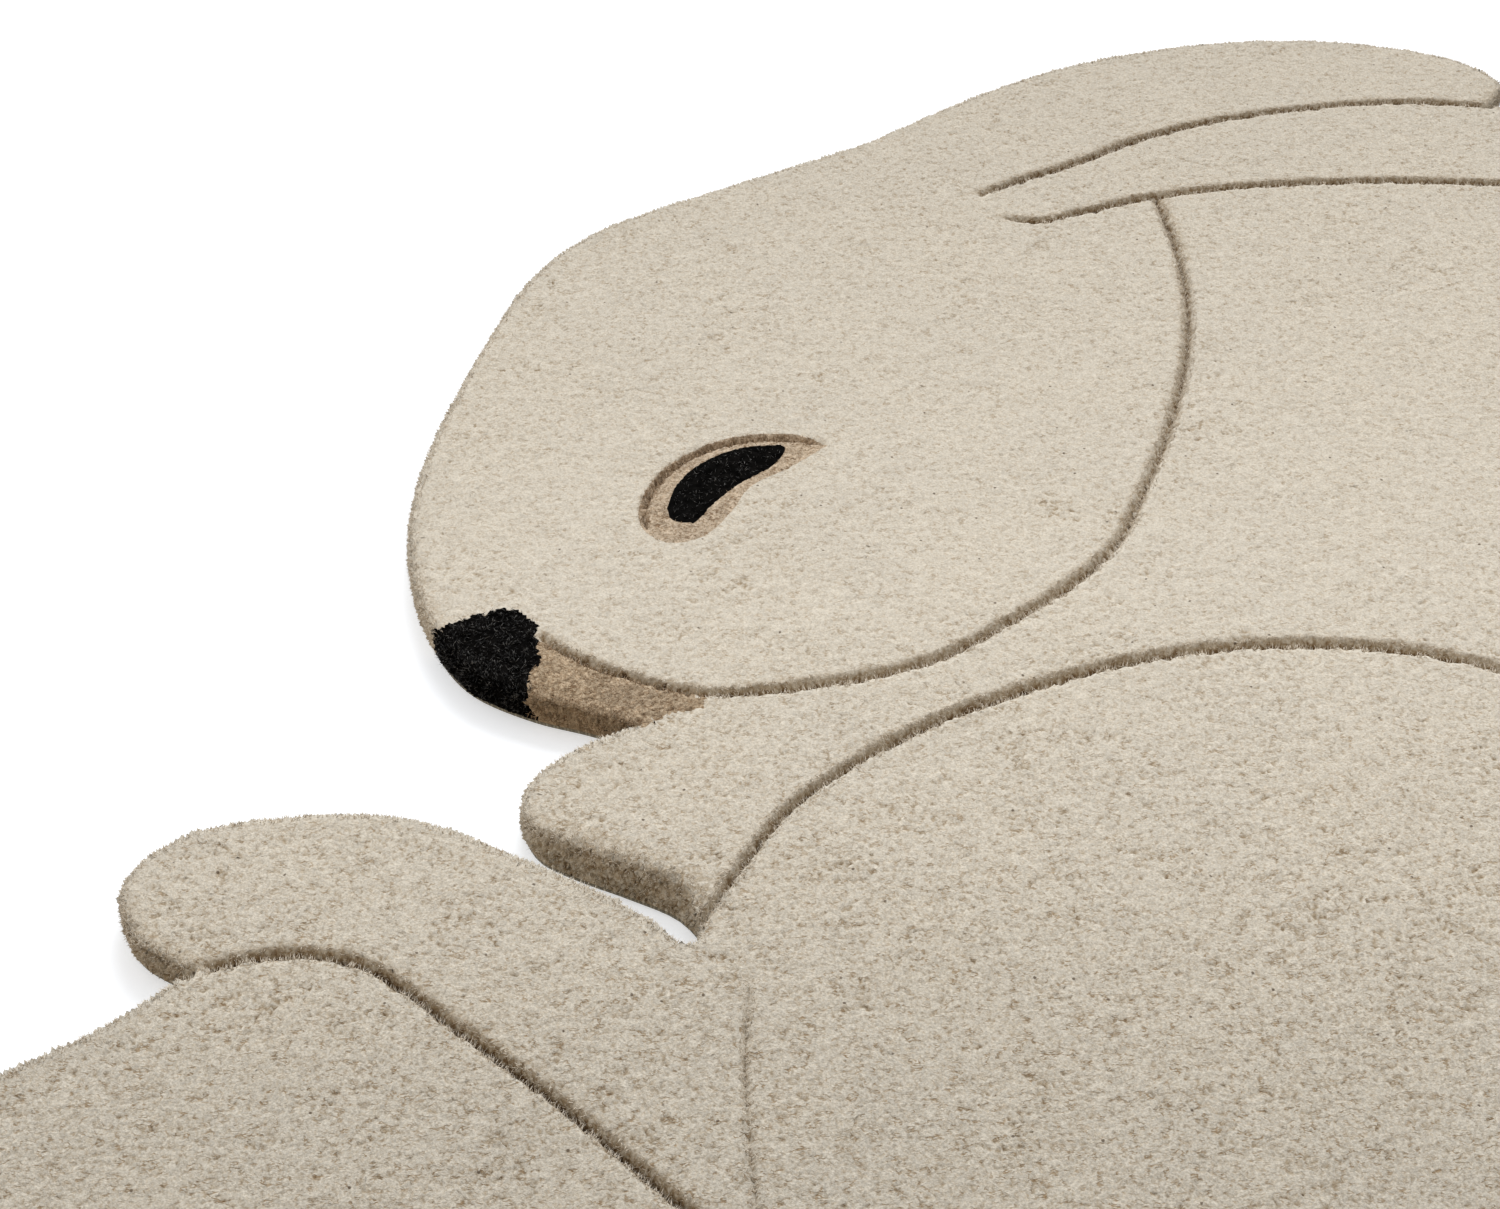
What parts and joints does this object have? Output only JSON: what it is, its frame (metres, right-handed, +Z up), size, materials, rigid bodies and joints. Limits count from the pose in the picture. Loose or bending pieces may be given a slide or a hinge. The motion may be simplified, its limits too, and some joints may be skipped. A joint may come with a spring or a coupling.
{
  "type": "rabbit shaped rug",
  "caption": "Rabbit-shaped tufted rug that lies flat, with a thick cut pile, carved lines, a dark nose and eye, and a thin backing cloth.",
  "frame": {"origin": "on the floor under the middle of the rug's bounding box", "axes": "+Z up out of the pile, +Y from the feet towards the ears, which is the longest side, +X from the snout towards the tail"},
  "size_m": [1.0923, 1.1484, 0.018],
  "materials": {
    "cream_pile": "matt cut wool pile, cream with faint warm and grey mottling",
    "black_pile": "matt cut wool pile, black with fine pale fibre glints",
    "tan_pile": "matt cut wool pile, tan",
    "backing_cloth": "plain woven cotton backing, matt"
  },
  "bodies": {
    "root": {"backing": "backing_cloth", "pile": "cream_pile", "nose": "black_pile", "mouth": "tan_pile", "eye_surround": "tan_pile", "pupil": "black_pile"}
  },
  "joints": []
}
